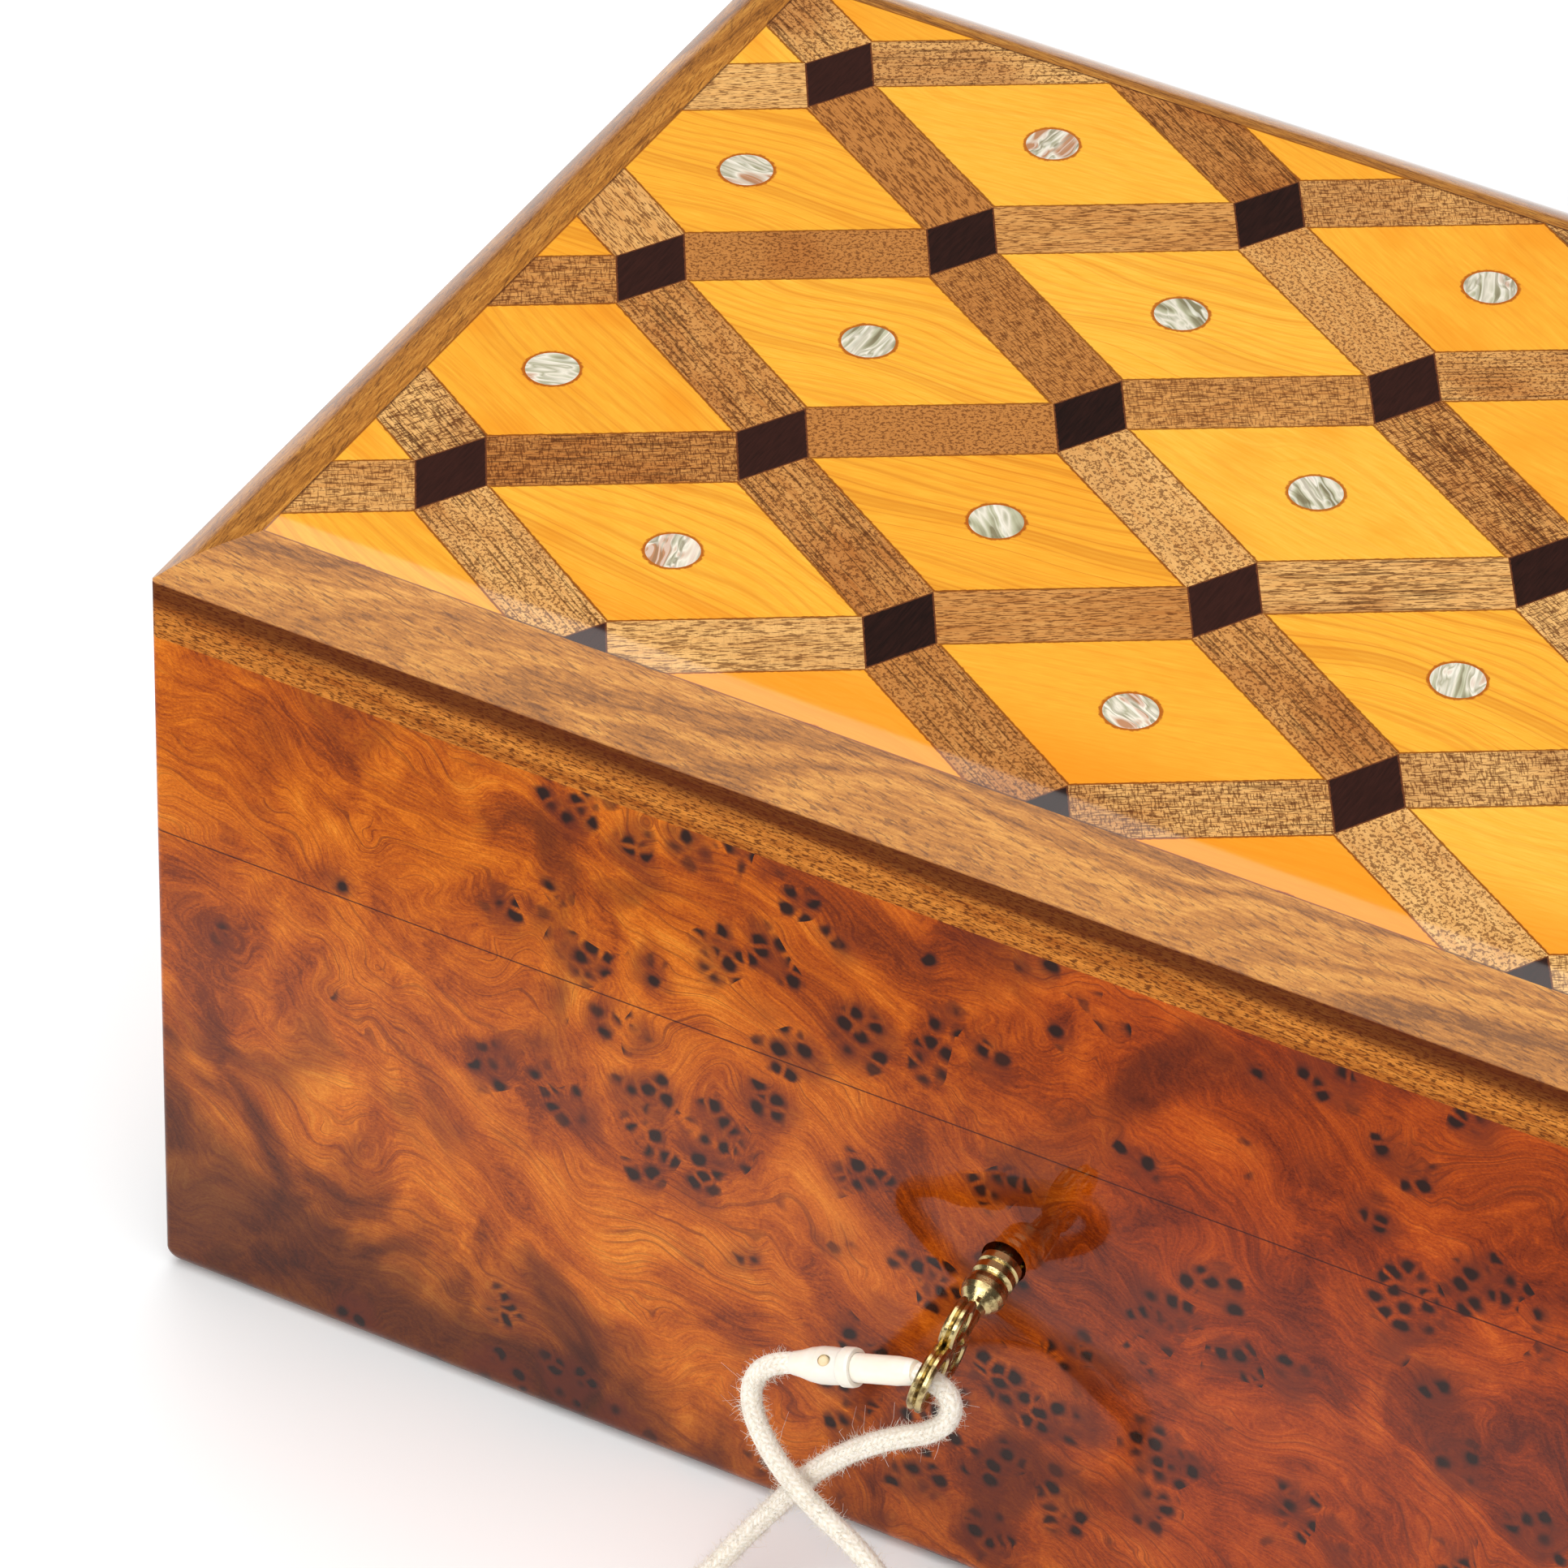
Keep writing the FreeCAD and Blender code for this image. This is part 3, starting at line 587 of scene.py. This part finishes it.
def pearl():
    """Mother-of-pearl: silver, cream and tan bands, on some discs fine dark growth lines, and fine bright
    lines that are painted glints.
    """
    s = Shader("pearl")
    x, y, u, v = lattice_place(s)
    cell = s.join((u / 2).floor(), (v / 2).floor(), 5.0)
    kind = s.chance(cell)
    a, b = turned(x, y, kind * 5.0)
    wave = s.noise(s.join(a * 0.42, b, kind * 50), 2.4, 1.0, 0.5, 0.5)
    lines = s.rings(b * 1.1 + wave * 3.0 + kind * 30, 0.8, 1.0, 0.5)
    ribbed = s.chance(s.move(cell, (4.0, 4.0, 4.0))).step(0.3, 0.6)
    colour = s.ramp(wave * 0.8 + lines * 0.2 + (kind - 0.5) * 0.30,
                    [(0.28, linear(134, 126, 96)), (0.37, linear(186, 184, 154)),
                     (0.45, linear(232, 224, 206)), (0.52, linear(172, 168, 140)),
                     (0.59, linear(236, 228, 210)), (0.68, linear(186, 134, 98))])
    colour = s.mix(lines.step(0.48, 0.40) * ribbed * 0.42, colour, linear(112, 98, 70))
    # Painted glints: fine near-white lines over the bands.
    colour = s.mix(lines.step(0.56, 0.66) * 0.34, colour, linear(252, 248, 238))
    return polished(s, colour, Metallic=0.3, Roughness=0.3)


# ---------------------------------------------------------------- inside of the box

def carcass_wood():
    """Plain pale inside wood of the base and the panel's core."""
    s = Shader("carcass_wood")
    x, y, z = s.split(s.place())
    wander = s.noise(s.join(x * 0.3, y, z), 30.0, 2.0) * 20.0
    band = s.rings(y * 0.5 + z * 0.5 + wander, 4.0, 3.0, 0.6)
    grain = s.streaks(x * 0.12, y * 1.6, z * 1.6, 3.0, 0.65)
    colour = s.ramp(band * 0.5 + grain * 0.5, [(0.3, linear(150, 96, 52)), (0.5, linear(190, 137, 84)),
                                               (0.7, linear(214, 168, 114))])
    return s.finish(Base_Color=colour, Roughness=0.55 + grain * 0.15, Coat_Weight=0.25,
                    Coat_Roughness=0.25)


def felt():
    """Dark red felt: short matted fibres in all directions."""
    s = Shader("felt")
    p = s.place()
    fuzz = s.noise(p, 0.7, 4.0, 0.75)
    wisp = s.noise(s.warp(p, 2.0, 1.5), 0.9, 3.0, 0.6, 1.5)
    colour = s.ramp(fuzz * 0.6 + wisp * 0.4, [(0.36, linear(58, 8, 10)), (0.64, linear(138, 30, 30))])
    return s.finish(Base_Color=colour, Roughness=0.95, Sheen_Weight=0.4, Sheen_Roughness=0.5,
                    Normal=s.bump(fuzz, 0.5, 0.3))


# ---------------------------------------------------------------- metals, plastic, cotton

def lock_brass():
    """Rolled brass sheet with fine lengthways rubbing and a little tarnish."""
    s = Shader("lock_brass")
    x, y, z = s.split(s.place())
    rub = s.streaks(x * 0.5, y * 9.0, z * 9.0, 3.0, 0.7)
    stain = s.noise(s.join(x, y, z), 7.0, 3.0).step(0.45, 0.75)
    colour = s.mix(stain * 0.5, linear(214, 176, 96), linear(150, 108, 52))
    return s.finish(Base_Color=colour, Metallic=1.0, Roughness=0.22 + rub * 0.18 + stain * 0.12)


def key_brass():
    """Cast, tumbled brass of the key, lightly pitted, with brown patches that are partly stains and
    partly painted dark reflections.
    """
    s = Shader("key_brass")
    p = s.place()
    pit = s.noise(p, 0.35, 3.0, 0.7)
    # Brown patches: partly stains, partly painted dark reflections.
    stain = s.noise(p, 1.6, 3.0, 0.6).step(0.46, 0.68)
    colour = s.mix(stain * 0.85, linear(202, 182, 130), linear(84, 58, 28))
    return s.finish(Base_Color=colour, Metallic=1.0, Roughness=0.13 + stain * 0.25 + pit * 0.08,
                    Normal=s.bump(pit, 0.25, 0.12))


def bolt_steel():
    """Filed mild steel."""
    s = Shader("bolt_steel")
    x, y, z = s.split(s.place())
    file_mark = s.streaks(x * 0.8, y * 8.0, z * 8.0, 3.0, 0.7)
    return s.finish(Base_Color=linear(176, 174, 170), Metallic=1.0, Roughness=0.25 + file_mark * 0.25)


def ivory_plastic():
    """Milky, slightly translucent moulded plastic."""
    s = Shader("ivory_plastic")
    cloud = s.noise(s.place(), 2.5, 2.0)
    colour = s.mix(cloud, linear(244, 232, 212), linear(252, 246, 234))
    return s.finish(Base_Color=colour, Roughness=0.3, Coat_Weight=0.3, Coat_Roughness=0.12,
                    Subsurface_Weight=0.35, Subsurface_Radius=(0.004, 0.003, 0.002),
                    Subsurface_Scale=0.5)


def plug_in_painted_shade():
    """The end of the ivory plug, seen through the socket's hole, coloured tan as painted shade."""
    s = Shader("plug_in_painted_shade")
    cloud = s.noise(s.place(), 0.6, 2.0)
    colour = s.mix(cloud, linear(224, 198, 150), linear(238, 220, 184))
    return s.finish(Base_Color=colour, Roughness=0.45)


def cotton():
    """Unbleached cotton yarn, with painted shade in the furrows between the stitches."""
    s = Shader("cotton")
    # Painted shade: the braid's height, kept on the cord's points, darkens the yarn in the furrows.
    stitch = s.node("ShaderNodeAttribute", {"attribute_name": "furrow_shade"}, out="Fac")
    yarn = s.noise(s.place(), 0.22, 3.0, 0.7)
    colour = s.ramp(stitch * 0.45 + yarn * 0.55, [(0.22, linear(214, 198, 170)),
                                                  (0.46, linear(240, 231, 215)),
                                                  (0.75, linear(252, 248, 240))])
    return s.finish(Base_Color=colour, Roughness=0.9, Sheen_Weight=0.3, Sheen_Roughness=0.6,
                    Subsurface_Weight=0.15, Subsurface_Radius=(0.002, 0.0015, 0.001),
                    Subsurface_Scale=0.4, Normal=s.bump(yarn, 0.4, 0.1))


def cotton_hair():
    """Loose single cotton fibres."""
    s = Shader("cotton_hair")
    cloud = s.noise(s.place(), 3.0, 1.0)
    colour = s.mix(cloud, linear(240, 230, 210), linear(250, 244, 234))
    return s.finish(Base_Color=colour, Roughness=0.8, Sheen_Weight=0.3, Sheen_Roughness=0.6)


def give(material, *names):
    """Gives each of these nodes the one material."""
    for name in names:
        mesh = NODES[name].data
        mesh.materials.clear()
        mesh.materials.append(material)


def finish_woodwork():
    sides = ("front", "back", "left", "right")
    give(burl_wood(), *[side + "_wall" for side in sides], *["lid_" + side + "_wall" for side in sides])
    give(walnut_border("x"), "lid_border_front", "lid_border_back")
    give(walnut_border("y"), "lid_border_left", "lid_border_right")
    give(lemonwood_tile(), "inlay_tiles")
    give(strip_wood(1), "inlay_strips_rising")
    give(strip_wood(-1), "inlay_strips_falling")
    give(ebony_block(), "inlay_blocks")
    give(pearl(), "pearl_discs")
    give(carcass_wood(), "bottom_panel", "lid_core")
    give(felt(), "floor_felt")


def finish_metalwork():
    hinges = [name for name in NODES if name.startswith("hinge_")]
    give(lock_brass(), "lock_case", "lock_cap", "lock_selvedge", "lock_screws", "link_plate",
         "link_plate_screws", *hinges)
    give(bolt_steel(), "bolt", "bolt_spring")
    give(key_brass(), "key")


# ---------------------------------------------------------------- meshes

def make_mesh(name, points, faces, material):
    """A smooth-shaded piece of one material; points are in metres."""
    mesh = bpy.data.meshes.new(name)
    mesh.from_pydata(points, [], faces)
    mesh.update()
    mesh.polygons.foreach_set("use_smooth", np.full(len(mesh.polygons), True))
    mesh.materials.append(material)
    piece = bpy.data.objects.new(name, mesh)
    bpy.context.scene.collection.objects.link(piece)
    return piece


def ring_faces(rings, sides):
    """Quads between rings of points, one ring after another."""
    ring = np.arange(rings - 1)[:, None]
    point = np.arange(sides)[None, :]
    following = (point + 1) % sides
    return np.stack([ring * sides + point, ring * sides + following, (ring + 1) * sides + following,
                     (ring + 1) * sides + point], axis=-1).reshape(-1, 4)


def unit(vectors):
    """Each row of an array of vectors made 1 long."""
    return vectors / np.linalg.norm(vectors, axis=1, keepdims=True)


def route_line():
    """Evenly spaced points on the smooth curve that the cord's route controls, and its length."""
    curve = bpy.data.curves.new("cord_route", "CURVE")
    curve.dimensions = "3D"
    spline = curve.splines.new("NURBS")
    spline.points.add(len(CORD_ROUTE) - 1)
    control = np.array([(x * MM, y * MM, z * MM, 1.0) for x, y, z in CORD_ROUTE])
    spline.points.foreach_set("co", control.ravel())
    spline.order_u = 3
    spline.use_endpoint_u = True
    spline.resolution_u = 24
    holder = bpy.data.objects.new("cord_route", curve)
    bpy.context.scene.collection.objects.link(holder)
    line = bpy.data.meshes.new_from_object(holder)
    points = np.zeros(len(line.vertices) * 3)
    line.vertices.foreach_get("co", points)
    points = points.reshape(-1, 3)
    bpy.data.objects.remove(holder)
    bpy.data.meshes.remove(line)
    gaps = np.linalg.norm(np.diff(points, axis=0), axis=1)
    walked = np.concatenate([[0], np.cumsum(gaps)])
    length = walked[-1]
    even = np.linspace(0, length, int(length / (RING_GAP * MM)))
    return np.stack([np.interp(even, walked, points[:, i]) for i in range(3)], axis=1), length


def normals_along(line):
    """Two unit normals at each point of a line, the first square to one fixed direction."""
    tangent = unit(np.gradient(line, axis=0))
    side = unit(np.cross(tangent, np.array([0.25, -0.55, 0.80])))
    return side, np.cross(side, tangent)


def braid_height(turn, along):
    """Chevron braid: a cosine along the cord, delayed by a triangle wave round it, between furrows
    where the columns of stitches meet."""
    column = turn / (2 * np.pi) * STITCH_COLUMNS
    delay = np.abs(column % 2 - 1)
    stitch = 0.5 + 0.5 * np.cos(2 * np.pi * (along / STITCH_PITCH + delay))
    seam = np.abs(np.sin(np.pi * column)) ** 0.4
    return (0.35 + 0.65 * stitch) * (0.45 + 0.55 * seam)


def make_cord(line, length, material):
    """A closed tube about the route: radius = cord radius less the furrows of its braid. The
    height of the braid is kept on its points for the material, which paints shade in the furrows from it."""
    side, up = normals_along(line)
    turn = np.linspace(0, 2 * np.pi, RING_POINTS, endpoint=False)[None, :]
    walked = np.linspace(0, length, len(line))[:, None]
    height = braid_height(turn, walked / MM)
    radius = (CORD_R * (1 - FURROW_SHARE + FURROW_SHARE * height)) * MM
    ring = np.cos(turn)[..., None] * side[:, None, :] + np.sin(turn)[..., None] * up[:, None, :]
    skin = (line[:, None, :] + ring * radius[..., None]).reshape(-1, 3)
    points = np.concatenate([skin, line[:1], line[-1:]])
    first_end, last_end = len(skin), len(skin) + 1
    last_ring = len(skin) - RING_POINTS
    faces = ring_faces(len(line), RING_POINTS).tolist()
    for point in range(RING_POINTS):
        following = (point + 1) % RING_POINTS
        faces.append([first_end, following, point])
        faces.append([last_end, last_ring + point, last_ring + following])
    cord = make_mesh("cotton_cord", points.tolist(), faces, material)
    # The braid's height, for the painted shade in the furrows.
    furrow_shade = cord.data.attributes.new("furrow_shade", "FLOAT", "POINT")
    furrow_shade.data.foreach_set("value", np.concatenate([height.ravel(), [0.5, 0.5]]).astype(np.float32))
    return cord


def make_fuzz(line, material):
    """Loose fibres: each is a thin three-sided wisp from the cord's skin, bending as a parabola
    and a half turn of a helix."""
    rng = np.random.default_rng(FIBRE_SEED)
    side, up = normals_along(line)
    index = rng.integers(8, len(line) - 8, FIBRES)
    turn = rng.uniform(0, 2 * np.pi, FIBRES)
    out = np.cos(turn)[:, None] * side[index] + np.sin(turn)[:, None] * up[index]
    root = line[index] + out * CORD_R * (1 - FURROW_SHARE) * MM
    length = rng.gamma(FIBRE_SHAPE, FIBRE_SCALE, FIBRES) * MM
    strays = rng.random(FIBRES) < STRAY_SHARE
    length[strays] = rng.uniform(*STRAY_LENGTH, strays.sum()) * MM
    heading = unit(out + 0.8 * rng.normal(0, 1.0, (FIBRES, 3)))
    sway = unit(np.cross(heading, rng.normal(0, 1.0, (FIBRES, 3))))
    twist = np.cross(heading, sway)
    curl = rng.uniform(*FIBRE_CURL, FIBRES)[:, None, None]
    t = np.linspace(0, 1, FIBRE_RINGS)[None, :, None]
    centre = root[:, None, :] + length[:, None, None] * (
        t * heading[:, None, :] + curl * t ** 2 * sway[:, None, :]
        + 0.3 * curl * np.sin(t * np.pi) * twist[:, None, :])
    centre[..., 2] = np.maximum(centre[..., 2], FIBRE_LOWEST * MM)
    radius = FIBRE_R * MM * (1 - 0.6 * t)
    spoke = np.linspace(0, 2 * np.pi, FIBRE_SIDES, endpoint=False)[None, None, :, None]
    ring = np.cos(spoke) * sway[:, None, None, :] + np.sin(spoke) * twist[:, None, None, :]
    points = centre[:, :, None, :] + ring * radius[..., None]
    starts = np.arange(FIBRES) * FIBRE_RINGS * FIBRE_SIDES
    faces = ring_faces(FIBRE_RINGS, FIBRE_SIDES)[None] + starts[:, None, None]
    return make_mesh("cord_fuzz", points.reshape(-1, 3).tolist(), faces.reshape(-1, 4).tolist(), material)


def make_plug_tongue(material):
    """The plug's tongue in the socket's side hole: a low dome over a disc square to the hole,
    height = rise * sqrt(radius^2 - r^2)."""
    rings, spokes, radius = 8, 24, TONGUE_R * MM
    along = Vector(CONNECTOR_DIR).normalized()
    out = Vector(HOLE_DIR).normalized()
    side = out.cross(along).normalized()
    run = side.cross(out)
    centre = np.array(Vector(CORD_ROUTE[0]) + along * HOLE_FROM) * MM
    r = np.linspace(0, 1, rings)[:, None] * radius
    a = np.linspace(0, 2 * np.pi, spokes, endpoint=False)[None, :]
    dome = TONGUE_RISE * np.sqrt(np.maximum(radius ** 2 - r ** 2, 0))
    height = (HOLE_DEPTH * MM + dome)[..., None]
    points = (centre + height * np.array(out) + (r * np.cos(a))[..., None] * np.array(run)
              + (r * np.sin(a))[..., None] * np.array(side))
    return make_mesh("plug_tongue", points.reshape(-1, 3).tolist(), ring_faces(rings, spokes).tolist(),
                     material)


def make_cordwork():
    line, length = route_line()
    cord = make_cord(line, length, cotton())
    fuzz = make_fuzz(line, cotton_hair())
    give(ivory_plastic(), "cord_plug", "cord_socket")
    # Painted shade: the plug's end in the socket's hole is coloured tan.
    tongue = make_plug_tongue(plug_in_painted_shade())
    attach(tongue, "key")
    for piece in (cord, fuzz):
        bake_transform(piece)
    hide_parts("key_cord")
    every = max(1, len(line) // PATH_POINTS)
    path = [list(p) for p in line[::every]] + [list(line[-1])]


# ---------------------------------------------------------------- stage

def make_stage():
    """A pale table that reaches far past the box."""
    s = Shader("table_top")
    cloud = s.noise(s.place(), 300.0, 1.0)
    colour = s.mix(cloud, linear(249, 251, 252), linear(251, 253, 254))
    table = s.finish(Base_Color=colour, Roughness=0.55)
    ends = (-TABLE_REACH, TABLE_REACH)
    points = [(x, y, 0.0) for y in ends for x in ends]
    make_mesh("table", points, [(0, 1, 3, 2)], table)


def add_softbox(name, place, target, width, depth, power, colour):
    """An area light. One that hangs straight above its target already looks down at it."""
    data = bpy.data.lights.new(name, "AREA")
    data.shape = "RECTANGLE"
    data.size = width
    data.size_y = depth
    data.energy = power
    data.color = colour
    lamp = bpy.data.objects.new(name, data)
    lamp.location = place
    aim = Vector(target) - Vector(place)
    if aim.xy.length > 0.01:
        lamp.rotation_euler = aim.to_track_quat("-Z", "Y").to_euler()
    bpy.context.scene.collection.objects.link(lamp)


def add_lights():
    for softbox in SOFTBOXES:
        add_softbox(*softbox)
    world = bpy.data.worlds.new("studio")
    world.use_nodes = True
    background = world.node_tree.nodes["Background"]
    background.inputs["Color"].default_value = ROOM_COLOUR
    background.inputs["Strength"].default_value = ROOM_STRENGTH
    bpy.context.scene.world = world


def add_camera():
    """Seen from the front right and above, with a long lens and a slight tilt of the frame."""
    heading, pitch, roll = (math.radians(a) for a in (CAMERA_HEADING, CAMERA_PITCH, CAMERA_ROLL))
    data = bpy.data.cameras.new("camera")
    data.sensor_width = CAMERA_SENSOR
    data.lens = CAMERA_LENS
    data.clip_end = 50.0
    camera = bpy.data.objects.new("camera", data)
    facing = Euler((math.pi / 2 - pitch, 0, heading)).to_matrix() @ Matrix.Rotation(roll, 3, "Z")
    camera.matrix_world = Matrix.Translation(CAMERA_PLACE) @ facing.to_4x4()
    bpy.context.scene.collection.objects.link(camera)
    bpy.context.scene.camera = camera
    bpy.context.scene.view_settings.view_transform = "Standard"


add_camera()
make_stage()
add_lights()
finish_woodwork()
finish_metalwork()
make_cordwork()
